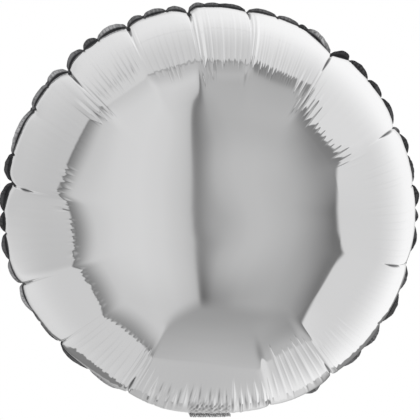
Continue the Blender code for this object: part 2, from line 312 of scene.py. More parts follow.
def corner_share(angles):
    """Share by which a ring stands out towards its corners at the main creases, with soft corners."""
    per_degree = 10
    fine = np.arange(360 * per_degree) / per_degree
    bounds = np.array([crease[0] for crease in CREASES])
    start = np.searchsorted(bounds, fine, side="right") - 1
    width = (np.append(bounds, bounds[0] + 360.0)[start + 1] - bounds[start]) % 360.0
    off = (fine - bounds[start]) % 360.0 - width / 2
    raw = 1.0 / np.cos(np.radians(off * np.minimum(1.0, 2.0 * CORNER_TURN / width))) - 1.0
    reach = int(CORNER_BLUR * per_degree)
    window = np.hanning(2 * reach + 1)
    wrapped = np.concatenate([raw[-reach:], raw, raw[:reach]])
    soft = np.convolve(wrapped, window / window.sum(), "valid")
    return np.interp(angles, fine, soft, period=360.0)


def drift(angles):
    """Degrees by which the film's lines lie further round at their inner ends than at the rim."""
    bounds = [crease[0] for crease in CREASES]
    return np.interp(angles, bounds, [crease[3] for crease in CREASES], period=360.0)


def pinched_folds(angle, radius, distance, seed):
    """Height of the folds in m, and the painted shade in the gaps between them."""
    draw = np.random.default_rng(seed)
    height = np.zeros(angle.shape)
    gap_shade = np.zeros(angle.shape)
    for first, last, spacing, tip, taper, slope, run, shade_strength, lean, fill in FOLDS:
        count = max(2, round((last - first) / spacing))
        moved = np.zeros(count + 1)
        moved[1:-1] = draw.uniform(-0.25, 0.25, count - 1)
        edges = (last - first) / count * (np.arange(count + 1) + moved)
        crests = lean + draw.uniform(-0.10, 0.10, count)
        tips = tip + taper * draw.uniform(-0.35, 0.35, count)
        runs = run * draw.uniform(0.6, 1.3, count)
        slopes = slope * draw.uniform(0.75, 1.15, count)
        fills = np.minimum(fill * draw.uniform(0.8, 1.1, count), 1.0)
        at = turn_between(angle, first)
        inside = (at >= 0.0) & (at < edges[-1])
        cell = np.clip(np.searchsorted(edges, at, side="right") - 1, 0, count - 1)
        wide = np.radians(edges[cell + 1] - edges[cell]) * radius
        place_in = (at - edges[cell]) / (edges[cell + 1] - edges[cell]) - 0.5
        along = tips[cell] - distance
        grown = np.clip(along / taper, 0.0, 1.0)
        kept = smooth(1.0 - along / runs[cell])
        from_crest = place_in - crests[cell]
        side = np.where(from_crest < 0.0, 0.5 + crests[cell], 0.5 - crests[cell]) * fills[cell] * grown
        tent = np.clip(1.0 - np.abs(from_crest) / np.maximum(side, 1e-4), 0.0, 1.0)
        height += inside * tent * 0.5 * wide * fills[cell] * grown * kept * slopes[cell]
        beside = (0.5 - np.abs(place_in)) * wide
        gap_shade = np.maximum(gap_shade, inside * shade_strength * np.exp(-(beside / FOLD_GAP) ** 2) * grown * kept)
    return height, gap_shade


def film_depth(angles, radius, distance, seed):
    """How far the film lies in, square to it, and how much painted shade it gets in its folds, creases,
    slits and crumples, from 0 to 1.

    Angles is a row in degrees; radius and distance are columns in metres.
    """
    angle = angles[None, :] - drift(angles)[None, :] * smooth(distance / DRIFT_RUN)
    sunk = np.zeros(angle.shape)
    folded = np.zeros(angle.shape)

    # Creases and nicks
    for centre, depth, length, _, tight_from, tight_to in CREASES:
        fade = smooth(1.0 - distance / length)
        arc = np.abs(np.radians(turn_between(angle, centre))) * radius
        line = np.clip(1.0 - arc / (CREASE_LINE + CREASE_LINE_AT_RIM * fade), 0.0, 1.0)
        valley = np.clip(1.0 - arc / CREASE_VALLEY, 0.0, 1.0)
        sunk += CREASE_LINE_SHARE * depth * fade ** 0.7 * line ** 1.2
        sunk += CREASE_VALLEY_SHARE * depth * fade * valley ** 2.0
        # The stretch of the crease that is folded tight gets painted shade along its line
        along = np.clip((distance - tight_from) / (tight_to - tight_from), 0.0, 1.0)
        least = 0.25 if tight_from == 0.0 else 0.0
        half = CREASE_TIGHT * np.sin(np.pi * np.maximum(along, least)) ** 0.7
        tight_shade = np.clip(1.5 - arc / (half + 1e-5), 0.0, 1.0) * (half > 1e-4)
        folded = np.maximum(folded, (along < 1.0) * tight_shade)
    for centre, depth, length in NICKS:
        fade = smooth(1.0 - distance / length)
        arc = np.abs(np.radians(turn_between(angle, centre))) * radius
        line = np.clip(1.0 - arc / (NICK_LINE + NICK_LINE_AT_RIM * fade), 0.0, 1.0)
        sunk += NICK_SHARE * depth * fade * line ** 1.5
        # Painted shade along the slit at the nick's outer end
        slit_shade = np.clip(1.4 - arc / NICK_TIGHT, 0.0, 1.0) * smooth((0.8 * length - distance) / 0.006)
        folded = np.maximum(folded, 0.8 * slit_shade)

    # Pinched folds, and the slight waves of the film between them
    height, gap_shade = pinched_folds(angle, radius, distance, seed)
    # Painted shade in the gaps between the pinched folds
    folded = np.maximum(folded, gap_shade)
    wave = ripple(angle, 96, 140, 9, seed) + 0.45 * ripple(angle, 200, 290, 12, seed + 1)
    sunk += WAVE_HEIGHT * wave * smooth((WAVE_END - distance) / WAVE_FADE) - height

    # Gathers and cusps draw the rim in
    for middle, reach, drawn, run in GATHERS:
        off = np.abs(turn_between(angle, middle))
        sunk += drawn * smooth(1.0 - off / reach) * smooth(1.0 - distance / run)
    for centre, drawn, before, after in CUSPS:
        off = turn_between(angle, centre)
        share = np.clip(1.0 - np.abs(off) / np.where(off < 0.0, before, after), 0.0, 1.0)
        sunk += drawn * share ** 2.0 * smooth(1.0 - distance / CUSP_RUN)

    # The neck crumples the film beside it, and the crumpled film gets painted shade
    off_neck = np.abs(turn_between(angle, CRUMPLE_MIDDLE))
    beside = smooth((CRUMPLE_REACH - off_neck) / 1.2) * smooth((CRUMPLE_RUN - distance) / 0.008)
    crushed = ripple(angle, 90, 300, 12, seed + 4) * np.cos(distance * CRUMPLE_TURNS[0])
    crushed = crushed + ripple(angle, 160, 420, 12, seed + 5) * np.sin(distance * CRUMPLE_TURNS[1])
    sunk += CRUMPLE_HEIGHT * beside * crushed
    folded = np.maximum(folded, beside * (0.40 + 0.40 * np.clip(crushed, -1.0, 1.0)))
    return sunk, folded


def film_surface(angles, shares, seed):
    """Positions (rings, angles, 3) of a front panel's film, and the painted shade of its folds there."""
    radius, height, lean, distance = (v[:, None] for v in meridian(shares))
    near = smooth((distance - CORNER_NEAR) / (CORNER_FADE - CORNER_NEAR))
    far = smooth((CORNER_FAR - distance) / (CORNER_FAR - CORNER_FADE))
    corner = corner_share(angles[None, :] - drift(angles)[None, :])
    spread = radius * (1.0 + CORNER_POWER * near * far * corner)
    sunk, folded = film_depth(angles, radius, distance, seed)
    spread = spread - sunk * np.sin(lean)
    out = WELD_EDGE + height - sunk * np.cos(lean)
    turn = np.radians(angles)[None, :]
    return np.stack([spread * np.sin(turn), -out, spread * np.cos(turn)], axis=-1), folded


def quads(rows, count, first, flip):
    """Faces of closed rings of count points each, numbered from first."""
    r, c = np.meshgrid(np.arange(rows - 1), np.arange(count), indexing="ij")
    here = first + r * count + c
    right = first + r * count + (c + 1) % count
    face = np.stack([here, right, right + count, here + count], axis=-1).reshape(-1, 4)
    return face[:, ::-1] if flip else face


def new_mesh(name, points, faces, material, **marks):
    """A smooth mesh object. Each of marks is a number per point, kept as an attribute."""
    mesh = bpy.data.meshes.new(name)
    mesh.from_pydata(np.asarray(points, dtype=float).tolist(), [], [list(map(int, f)) for f in faces])
    mesh.validate()
    for title, values in marks.items():
        attribute = mesh.attributes.new(title, "FLOAT", "POINT")
        attribute.data.foreach_set("value", np.asarray(values, dtype=np.float32))
    mesh.materials.append(material)
    mesh.shade_smooth()
    piece = bpy.data.objects.new(name, mesh)
    bpy.context.scene.collection.objects.link(piece)
    return piece


def place(piece, body, slot, *nodes):
    """The piece stands for the nodes and moves with the body; slot is not used."""
    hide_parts(*nodes)
    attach(piece, body)


def film_panel(name, node, side, seed, material):
    """One panel of film. Side is -1 for the front and 1 for the back."""
    fine_angles = np.arange(AROUND) * 360.0 / AROUND
    coarse_angles = np.arange(AROUND_MIDDLE) * 360.0 / AROUND_MIDDLE
    edge_shares = np.concatenate([
        share_at(np.linspace(first, last, count, endpoint=last == 0.0))
        for first, last, count in FINE_RINGS
    ])
    middle_shares = np.linspace(0.0, edge_shares[0], RINGS_MIDDLE + 1)[1:-1]
    middle, middle_shade = film_surface(coarse_angles, middle_shares, seed)
    edge, edge_shade = film_surface(fine_angles, edge_shares, seed)
    pole = np.array([[0.0, middle[0, :, 1].mean(), 0.0]])
    points = np.concatenate([pole, middle.reshape(-1, 3), edge.reshape(-1, 3)])
    points[:, 1] *= -side
    folded = np.concatenate([[0.0], middle_shade.ravel(), edge_shade.ravel()])
    flip = side > 0
    faces = []
    for k in range(AROUND_MIDDLE):
        fan = [0, 1 + (k + 1) % AROUND_MIDDLE, 1 + k]
        faces.append(fan[::-1] if flip else fan)
    faces += list(quads(len(middle_shares), AROUND_MIDDLE, 1, flip))
    last_coarse = 1 + (len(middle_shares) - 1) * AROUND_MIDDLE
    first_fine = 1 + len(middle_shares) * AROUND_MIDDLE
    ratio = AROUND // AROUND_MIDDLE
    half = ratio // 2
    for k in range(AROUND_MIDDLE):
        inner, inner_next = last_coarse + k, last_coarse + (k + 1) % AROUND_MIDDLE
        run = [first_fine + (k * ratio + s) % AROUND for s in range(ratio + 1)]
        strip = [[inner, run[s + 1], run[s]] for s in range(half)]
        strip.append([inner, inner_next, run[half]])
        strip += [[inner_next, run[s + 1], run[s]] for s in range(half, ratio)]
        faces += [f[::-1] if flip else f for f in strip]
    faces += list(quads(len(edge_shares), AROUND, first_fine, flip))
    piece = new_mesh(name, points, faces, material, folded=folded)
    place(piece, "envelope", "silver_foil", node)


def sheet_mesh(name, upper, lower, material, **marks):
    """A closed thin sheet between two grids (rows, columns, 3) that match."""
    rows, columns = upper.shape[:2]
    points = np.concatenate([upper.reshape(-1, 3), lower.reshape(-1, 3)])
    r, c = np.meshgrid(np.arange(rows - 1), np.arange(columns - 1), indexing="ij")
    here = (r * columns + c).ravel()
    over = np.stack([here, here + 1, here + columns + 1, here + columns], axis=-1)
    under = over[:, ::-1] + rows * columns
    ring = list(range(columns))
    ring += [r * columns + columns - 1 for r in range(1, rows)]
    ring += [(rows - 1) * columns + c for c in range(columns - 2, -1, -1)]
    ring += [r * columns for r in range(rows - 2, 0, -1)]
    ring = np.array(ring)
    after = np.roll(ring, -1)
    walls = np.stack([after, ring, ring + rows * columns, after + rows * columns], axis=-1)
    both = {title: np.concatenate([v.ravel(), v.ravel()]) for title, v in marks.items()}
    return new_mesh(name, points, np.concatenate([over, under, walls]), material, **both)


# Flange, in metres but for its gap and reach, which are degrees either side of the tail
CLEARANCE = 0.0003                                  # between the flange and the neck
NECK_GAP = math.degrees(math.asin((TAIL_HALF_WIDTH + CLEARANCE) / RIM_RADIUS))
FLANGE_LEAN = 0.0016                                # how far back it leans in a scallop, at most
FLANGE_LEAN_AT_TAIL = 0.0012                        # how much further back beside the tail
FLANGE_LEAN_REACH = 34.0
FLANGE_SWAY = 0.0013                                # how far it sways to either side
FLANGE_WAVES = 0.00028                              # height of its wrinkles, and of the finer ones
FLANGE_FINE_WAVES = 0.00012

# Heights of the pleats across the neck and the fold, in metres
NECK_PLEAT = 0.00030
FOLD_PLEAT = 0.0006


def rim_radius(angles):
    """Radius of the front panel's rim, drawn in by its creases, gathers and cusps."""
    radius, _, _, distance = (v[:, None] for v in meridian(np.array([1.0])))
    return RIM_RADIUS - film_depth(angles, radius, distance, FRONT_SEED)[0][0]


def flange(material):
    """The welded edge: buckled scallops all round, but for the neck."""
    steps = int((360.0 - 2.0 * NECK_GAP) / FLANGE_STEP)
    angles = (180.0 + np.linspace(NECK_GAP, 360.0 - NECK_GAP, steps + 1)) % 360.0
    starts = np.array([row[0] for row in SCALLOPS])
    at = np.searchsorted(starts, angles, side="right") - 1
    length = (np.append(starts, starts[0] + 360.0)[at + 1] - starts[at]) % 360.0
    share = ((angles - starts[at]) % 360.0) / length
    full = np.array([row[1] for row in SCALLOPS])[at] / 1000.0
    pale = np.array([row[2] for row in SCALLOPS])[at]
    lens = np.clip(np.sin(np.pi * share), 0.0, 1.0)
    draw = np.random.default_rng(5)
    skew = draw.uniform(-1.0, 1.0, len(SCALLOPS))[at]
    back = draw.uniform(0.2, 1.0, len(SCALLOPS))[at]
    pinch = np.interp(angles, starts, [row[3] / 1000.0 for row in SCALLOPS], period=360.0)
    width = pinch + (full - pinch) * lens ** (0.85 + 0.2 * skew)
    width *= 1.0 + 0.02 * ripple(angles, 60, 200, 12, 61)

    rim = rim_radius(angles)
    u = np.linspace(0.0, 1.0, FLANGE_ROWS)[:, None]
    out = rim[None, :] - WELD_BITE + (WELD_BITE + width[None, :]) * u
    past = smooth((out - rim[None, :]) / np.maximum(width, 0.0015)[None, :])
    by_tail = smooth(1.0 - np.abs(turn_between(angles, 180.0)) / FLANGE_LEAN_REACH)
    lean = FLANGE_LEAN * back * lens + FLANGE_LEAN_AT_TAIL * by_tail
    sway = FLANGE_SWAY * skew * np.sin(2.0 * np.pi * share) * lens
    fine = FLANGE_WAVES * ripple(angles, 180, 420, 14, 62)
    fine = fine + FLANGE_FINE_WAVES * ripple(angles, 420, 700, 12, 63)
    y = past * (lean + sway)[None, :] + past * (0.4 + 0.6 * u) * fine[None, :]
    half = WELD_HALF + (FLANGE_HALF - WELD_HALF) * smooth((out - rim[None, :]) / 0.0012)
    turn = np.radians(angles)[None, :]
    x, z = out * np.sin(turn), out * np.cos(turn)
    front = np.stack([x, y - half, z], axis=-1)
    behind = np.stack([x, y + half, z], axis=-1)
    # Painted light on the outer edges of the scallops
    lit = pale[None, :] * smooth((u - 0.45) / 0.2) * lens[None, :] ** 0.5
    piece = sheet_mesh("flange", front, behind, material, pale=lit * np.ones_like(x))
    place(piece, "envelope", "welded_foil", "edge_seam")


def neck(material):
    """The gathered film at the root of the tail."""
    x = np.linspace(-1.0, 1.0, GATHER_COLUMNS) * TAIL_HALF_WIDTH
    angles = 180.0 - np.degrees(np.arcsin(x / RIM_RADIUS))
    rim = rim_radius(angles)
    top = -(rim - WELD_BITE) * np.cos(np.radians(angles - 180.0))
    u = np.linspace(0.0, 1.0, NECK_ROWS)[:, None]
    z = top[None, :] + (NECK_FLOOR - top[None, :]) * u
    pleat = ripple(angles, 120, 420, 12, 71)[None, :] * np.cos(5.0 * u)
    pleat = pleat + ripple(angles, 200, 620, 12, 73)[None, :] * np.sin(7.0 * u)
    y = NECK_PLEAT * smooth(u / 0.3) * pleat
    half = WELD_HALF - 0.0002 * smooth((u - 0.3) / 0.4)
    x = np.ones_like(u) * x[None, :]
    front = np.stack([x, y - half, z], axis=-1)
    behind = np.stack([x, y + half, z], axis=-1)
    # Painted light and shade that follow the pleats' height
    piece = sheet_mesh("neck_gathers", behind, front, material, pale=0.95 + 0.40 * pleat)
    place(piece, "envelope", "welded_foil", "tail_neck")


def fold(material):
    """The film doubled over on the fold's line, with small pleats across it and painted shade in them."""
    columns = GATHER_COLUMNS
    x = np.linspace(-1.0, 1.0, columns) * TAIL_HALF_WIDTH
    turn = np.linspace(0.0, 2.0 * np.pi, FOLD_SIDES, endpoint=False)[:, None]
    across = x / TAIL_HALF_WIDTH * 60.0
    pleat = ripple(across, 12, 60, 12, 72)[None, :] * np.cos(2.0 * turn)
    pleat = pleat + ripple(across, 20, 80, 12, 74)[None, :] * np.sin(3.0 * turn)
    pleat = 0.5 + 0.5 * np.clip(0.7 * pleat, -1.0, 1.0)
    ends = 1.0 - 0.2 * np.abs(x / TAIL_HALF_WIDTH) ** 6
    reach = FOLD_HALF * ends[None, :] - FOLD_PLEAT * pleat
    y = reach * np.cos(turn)
    z = FOLD_Z + reach * np.sin(turn)
    points = np.stack([x[None, :] * np.ones_like(y), y, z], axis=-1).reshape(-1, 3)
    faces = []
    for s in range(FOLD_SIDES):
        here, after = s * columns, (s + 1) % FOLD_SIDES * columns
        faces += [[here + c, after + c, after + c + 1, here + c + 1] for c in range(columns - 1)]
    left = [s * columns for s in range(FOLD_SIDES)]
    right = [s * columns + columns - 1 for s in range(FOLD_SIDES)]
    faces += [left[::-1], right]
    # Painted shade in the pleats, darker where they press in
    shade_strength = 0.05 + 0.75 * pleat
    piece = new_mesh("tail_fold", points, faces, material, folded=shade_strength.ravel())
    place(piece, "tail", "welded_foil", "tail_fold_crease")


# Films of the tail and the valve, in metres
SEAL_FACE = 0.00045                                 # from the fold's plane to the welded margins' face
SEAL_EASE = 0.0016                                  # width over which the film rises beside a margin
SEAL_RIDGES = 0.00006                               # height of the margins' ridges, and their spacing
SEAL_PITCH = 0.0011
TAIL_SLACK = 0.00035                                # how far the film between them sags
MOUTH_WAVE = 0.0006                                 # height of the waves in the edge of the tail's mouth
VALVE_HALF = 0.00007                                # half the thickness of a valve film
VALVE_GAP = 0.0002                                  # from the fold's plane to its middle
VALVE_WAVE = 0.0005                                 # height of the waves in its lip, and how far that opens
VALVE_LIFT = 0.0007


def tail_film(name, node, side, seed, material):
    """One film of the tail, puckered towards the fold, with its welded margins."""
    low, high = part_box(node)
    across = np.linspace(-1.0, 1.0, TAIL_COLUMNS)[None, :]
    y = np.linspace(float(low.y) - FOLD_TUCK, float(high.y), TAIL_ROWS)[:, None]
    x = across * TAIL_HALF_WIDTH
    outer = float(high.z if side > 0 else low.z) - FOLD_Z
    seal_face = side * SEAL_FACE
    inside = smooth((TAIL_HALF_WIDTH - TAIL_SEAL - np.abs(x)) / SEAL_EASE)
    along = (y - float(low.y)) / float(high.y - low.y)
    degrees = across * 40.0
    pucker = ripple(degrees, 30, 60, 8, seed) * smooth(1.0 - along / 0.45)
    loose = ripple(degrees, 9, 24, 6, seed + 1) * np.sin(along * 9.0 + seed)
    slack = TAIL_SLACK * (0.5 + 0.5 * np.clip(0.7 * pucker + 0.5 * loose, -1.0, 1.0))
    level = seal_face + (outer - side * slack * inside - seal_face) * inside
    level = level - side * SEAL_RIDGES * (1.0 - inside) * np.sin(y * 2.0 * np.pi / SEAL_PITCH)
    mouth = MOUTH_WAVE * ripple(degrees, 8, 20, 5, seed + 2) * smooth((along - 0.96) / 0.04)
    x = x * (1.0 - 0.02 * (1.0 - np.cos(along * 2.0 * np.pi)) / 2.0)
    z = (FOLD_Z + level) * np.ones_like(x)
    over = np.stack([x, y - np.abs(mouth), z], axis=-1)
    inner = np.stack([x, y - np.abs(mouth), z - side * FILM], axis=-1)
    first, second = (over, inner) if side > 0 else (inner, over)
    piece = sheet_mesh(name, first, second, material, seal=(1.0 - inside) * np.ones_like(x))
    place(piece, "tail", "silver_foil", node)


def valve_film(name, node, side, seed, material):
    """One thin film of the valve, which shows past the tail's mouth."""
    low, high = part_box(node)
    across = np.linspace(-1.0, 1.0, VALVE_COLUMNS)[None, :]
    y = np.linspace(float(low.y), float(high.y), VALVE_ROWS)[:, None]
    x = across * float(high.x) * np.ones_like(y)
    along = (y - float(low.y)) / float(high.y - low.y)
    past = smooth((along - 0.80) / 0.2)
    wave = VALVE_WAVE * past * (0.5 + 0.5 * np.clip(ripple(across * 45.0, 6, 16, 5, seed), -1.0, 1.0))
    lift = VALVE_LIFT * past * (1.0 - across ** 2)
    z = FOLD_Z + side * (VALVE_GAP + wave + lift)
    y = y * np.ones_like(x)
    upper = np.stack([x, y, z + VALVE_HALF], axis=-1)
    lower = np.stack([x, y, z - VALVE_HALF], axis=-1)
    piece = sheet_mesh(name, upper, lower, material)
    place(piece, "tail", "valve_film", node)


# Materials
def principled(name, colour, roughness, metallic):
    """A plain material, with its node tree and its shader."""
    made = bpy.data.materials.new(name)
    made.use_nodes = True
    shader = made.node_tree.nodes["Principled BSDF"]
    shader.inputs["Base Color"].default_value = colour + (1.0,)
    shader.inputs["Roughness"].default_value = roughness
    shader.inputs["Metallic"].default_value = metallic
    return made, made.node_tree, shader


def marked_film(name, plain, roughness, metallic, attribute, marked):
    """Film whose colour goes from plain to marked with the mesh's attribute."""
    made, tree, shader = principled(name, plain, roughness, metallic)
    source = tree.nodes.new("ShaderNodeAttribute")
    source.attribute_name = attribute
    mix = tree.nodes.new("ShaderNodeMix")
    mix.data_type = "RGBA"
    mix.inputs["A"].default_value = plain + (1.0,)
    mix.inputs["B"].default_value = marked + (1.0,)
    tree.links.new(source.outputs["Fac"], mix.inputs["Factor"])
    tree.links.new(mix.outputs["Result"], shader.inputs["Base Color"])
    return made


def valve_material():
    """Thin milky plastic."""
    made, tree, shader = principled("valve_film", (0.86, 0.88, 0.89), 0.30, 0.0)
    shader.inputs["Transmission Weight"].default_value = 0.55
    shader.inputs["IOR"].default_value = 1.3
    return made


# Silver film, darkened towards the marked colour by painted shade in its creases, slits, gaps and crumples
FOIL = marked_film("silver_foil", (0.93, 0.93, 0.935), 0.055, 1.0, "folded", (0.10, 0.10, 0.105))
# Welded edge and neck: near-black metal that stands in for the shade and dark mirror image in the seam; its
# pale marks are painted light
WELD = marked_film("welded_foil", (0.045, 0.045, 0.048), 0.16, 1.0, "pale", (0.60, 0.60, 0.61))
TAIL = marked_film("tail_foil", (0.90, 0.90, 0.905), 0.35, 0.6, "seal", (0.62, 0.62, 0.63))
VALVE = valve_material()
film_panel("front_film", "front_panel", -1, FRONT_SEED, FOIL)
film_panel("back_film", "back_panel", 1, BACK_SEED, FOIL)
flange(WELD)
neck(WELD)
fold(FOIL)
tail_film("tail_film_under", "tail_front_film", -1, 81, TAIL)
tail_film("tail_film_over", "tail_back_film", 1, 85, TAIL)
valve_film("valve_film_under", "valve_front_film", -1, 91, VALVE)
valve_film("valve_film_over", "valve_back_film", 1, 93, VALVE)


# Surroundings that the film mirrors. They are numbers by direction, in degrees: bearing goes right from
# the front, rise goes up from level, off goes away from the front, and turn goes clockwise round it from
# the top. A row of a table is a direction and the number there.

# Room that the balloon faces: a bright wall and a darker one with a corner between them, and a floor
CORNER_BEARING = 2.4                                # where the corner is at level
CORNER_LEAN = 17.5                                  # how far it leans left high up, at most
CORNER_LEAN_RISE = 58.0                             # rise by which it leans half as far
CORNER_SWING = 3.3                                  # the same low down
CORNER_SWING_DROP = 11.0
WALLS = (                                           # brightness by degrees right of the corner
    (-64.0, 0.50), (-50.0, 0.56), (-37.0, 0.62), (-27.0, 0.68), (-15.0, 0.70), (-7.0, 0.665), (-2.3, 0.59),
    (-0.4, 0.53), (0.1, 0.21), (0.8, 0.235), (1.6, 0.33), (2.8, 0.47), (5.0, 0.53), (8.0, 0.535),
    (12.7, 0.50), (17.7, 0.46), (22.7, 0.395), (27.7, 0.325), (32.7, 0.255), (37.7, 0.175), (46.0, 0.14),
)
HIGH_RIGHT_WALL = ((0.0, 0.50), (26.0, 0.49), (46.0, 0.445), (60.0, 0.44))      # brightness by rise
HIGH_WALLS = 0.56                                   # brightness of all walls far up
LOW_RIGHT_SHARE = (                                 # share of the wall's brightness by bearing
    (2.0, 0.56), (6.0, 0.62), (9.0, 0.74), (13.0, 0.84), (17.0, 0.91), (22.0, 0.98), (28.0, 1.10),
    (40.0, 1.10),
)
ROOM_FLOOR = (                                      # brightness by rise
    (-90.0, 0.56), (-70.0, 0.53), (-60.0, 0.505), (-50.0, 0.47), (-40.0, 0.415), (-32.0, 0.36),
    (-22.0, 0.32),
)
FLOOR_LINE = -23.4                                  # rise at which the floor meets the walls in front
FLOOR_LINE_LEFT = 0.90                              # degrees that it falls for each degree to the left
FLOOR_LINE_RIGHT = 0.38                             # the same to the right

# The opening of the room: the off where the room ends, and how soft that end is, by turn
OPENING = (
    (-180.0, 61.0), (-150.0, 56.5), (-140.0, 57.0), (-127.0, 55.5), (-108.0, 54.3), (-99.0, 53.5),
    (-85.0, 57.0), (-74.0, 64.0), (-67.0, 66.5), (-60.0, 67.0), (-36.0, 62.6), (-20.0, 65.0),
    (-4.0, 65.5), (5.0, 66.5), (22.0, 71.0), (32.0, 70.5), (38.0, 67.0), (46.0, 59.0), (54.0, 52.0),
    (62.0, 48.8), (78.0, 43.4), (92.0, 42.4), (100.0, 42.8), (106.0, 45.0), (118.0, 45.2), (131.0, 48.3),
    (137.0, 49.0), (141.0, 62.0), (148.0, 68.0), (158.0, 67.5), (168.0, 65.5), (180.0, 61.0),
)
OPENING_SOFTNESS = (
    (-180.0, 3.6), (-168.0, 3.0), (-156.0, 1.3), (-140.0, 1.0), (140.0, 1.0), (152.0, 1.3), (162.0, 2.4),
    (180.0, 3.6),
)
# Shades inside the opening by turn, each the share of the light that is lost at the most
FRINGE_SHADE = (
    (-180.0, 0.0), (-168.0, 0.05), (-158.0, 0.38), (-145.0, 0.52), (-110.0, 0.58), (-90.0, 0.60),
    (-70.0, 0.60), (-58.0, 0.45), (-48.0, 0.18), (-38.0, 0.02), (-25.0, 0.02), (0.0, 0.12), (14.0, 0.30),
    (36.0, 0.36), (50.0, 0.20), (70.0, 0.05), (120.0, 0.0), (180.0, 0.0),
)
RIGHT_SHADE = (
    (30.0, 0.0), (40.0, 0.22), (48.0, 0.42), (55.0, 0.50), (66.0, 0.46), (70.0, 0.40), (76.0, 0.26),
    (88.0, 0.0),
)
SHELF_SHADE = (
    (-6.0, 0.0), (0.0, 0.06), (8.0, 0.08), (14.0, 0.18), (20.0, 0.22), (34.0, 0.22), (40.0, 0.08),
    (46.0, 0.0),
)

# White surroundings, greyer on the left and below: brightness by turn next to the opening and far round
NEAR_RING = (
    (-180.0, 0.53), (-168.0, 0.55), (-160.0, 0.63), (-140.0, 0.63), (-120.0, 0.63), (-90.0, 0.52),
    (-65.0, 0.56), (-45.0, 0.68), (-20.0, 0.64), (0.0, 0.61), (20.0, 0.64), (38.0, 0.76), (48.0, 0.78),
    (60.0, 0.73), (75.0, 0.715), (92.0, 0.67), (115.0, 0.68), (128.0, 0.68), (136.0, 0.74), (144.0, 0.73),
    (151.0, 0.61), (162.0, 0.58), (170.0, 0.55), (180.0, 0.53),
)
FAR_RING = (
    (-180.0, 0.52), (-160.0, 0.60), (-140.0, 0.70), (-120.0, 0.74), (-95.0, 0.58), (-75.0, 0.59),
    (-60.0, 0.64), (-45.0, 0.72), (-25.0, 0.80), (0.0, 0.88), (30.0, 0.98), (60.0, 1.0), (90.0, 0.98),
    (120.0, 1.0), (140.0, 0.97), (158.0, 0.80), (180.0, 0.54),
)
# The wall behind, which the back panel mirrors, by degrees right of straight behind
WALL_BEHIND = (
    (-60.0, 0.70), (-26.0, 0.82), (-9.0, 0.62), (-3.0, 0.46), (1.0, 0.70), (14.0, 0.84), (34.0, 0.66),
    (60.0, 0.74),
)

# Low dark things behind, which the film mirrors close to its rim: the off where they start and how dark
# they are, by turn
LOW_EDGE = (
    (-180.0, 160.0), (-173.0, 126.0), (-167.0, 121.0), (-162.0, 127.0), (-157.0, 128.0), (-153.0, 136.0),
    (-149.0, 128.0), (-145.0, 140.0), (-140.0, 152.0), (108.0, 156.0), (122.0, 152.0), (126.0, 142.5),
    (131.0, 142.0), (135.0, 138.0), (140.0, 133.0), (145.0, 128.5), (150.0, 127.0), (152.0, 134.0),
    (156.0, 148.0), (165.0, 160.0), (180.0, 160.0),
)
LOW_DARK = (
    (-180.0, 0.0), (-174.0, 0.0), (-168.0, 0.16), (-159.0, 0.20), (-157.0, 0.66), (-146.0, 0.66),
    (-142.0, 0.0), (106.0, 0.0), (116.0, 0.60), (124.0, 0.78), (134.0, 0.74), (140.0, 0.70), (146.0, 0.44),
    (150.0, 0.24), (155.0, 0.12), (164.0, 0.0), (180.0, 0.0),
)

# How dark the thin edge round the opening is, by turn, and how dark the fainter one further out above is
EDGE_DARK = (
    (-180.0, 0.03), (-165.0, 0.05), (-150.0, 0.10), (-100.0, 0.14), (-66.0, 0.16), (-50.0, 0.0),
    (-26.0, 0.0), (-20.0, 0.26), (-8.0, 0.26), (-2.0, 0.12), (8.0, 0.16), (16.0, 0.10), (24.0, 0.0),
    (160.0, 0.0), (180.0, 0.03),
)
OUTER_EDGE_DARK = 0.06


class NumberNodes:
    """Adds nodes to a tree that work out numbers. An input is a node's output or a plain number."""

    def __init__(self, tree):
        self.tree = tree

    def node(self, kind, **values):
        made = self.tree.nodes.new(kind)
        for key, value in values.items():
            setattr(made, key, value)
        return made

    def math(self, operation, *inputs):
        made = self.node("ShaderNodeMath", operation=operation)
        for socket, value in zip(made.inputs, inputs):
            if isinstance(value, (int, float)):
                socket.default_value = value
            else:
                self.tree.links.new(value, socket)
        return made.outputs[0]

    def plus(self, first, second):
        return self.math("ADD", first, second)

    def less(self, first, second):
        return self.math("SUBTRACT", first, second)

    def times(self, first, *others):
        for other in others:
            first = self.math("MULTIPLY", first, other)
        return first

    def over(self, first, second):
        return self.math("DIVIDE", first, second)

    def above_zero(self, value):
        return self.math("MAXIMUM", value, 0.0)

    def ramp(self, value, stops, most=1.0):
        """A number that follows value through (value, number) stops, none above most."""
        low, high = stops[0][0], stops[-1][0]
        made = self.node("ShaderNodeValToRGB")
        band = made.color_ramp.elements
        band[0].color = (stops[0][1] / most,) * 3 + (1.0,)
        band[1].color = (stops[-1][1] / most,) * 3 + (1.0,)
        for stop, number in stops[1:-1]:
            band.new((stop - low) / (high - low)).color = (number / most,) * 3 + (1.0,)
        self.tree.links.new(self.over(self.less(value, low), high - low), made.inputs[0])
        return self.times(made.outputs[0], most)

    def between(self, value, low, high):
        """0 below low and 1 above high, eased."""
        made = self.node("ShaderNodeMapRange", interpolation_type="SMOOTHSTEP")
        self.tree.links.new(value, made.inputs["Value"])
        made.inputs["From Min"].default_value = low
        made.inputs["From Max"].default_value = high
        return made.outputs[0]

    def blend(self, share, first, second):
        """first where share is 0, second where it is 1."""
        kept = self.times(self.less(1.0, share), first)
        return self.plus(kept, self.times(share, second))

    def shaded(self, value, *shares):
        """The value, darker by the product of the shares."""
        return self.times(value, self.less(1.0, self.times(*shares)))


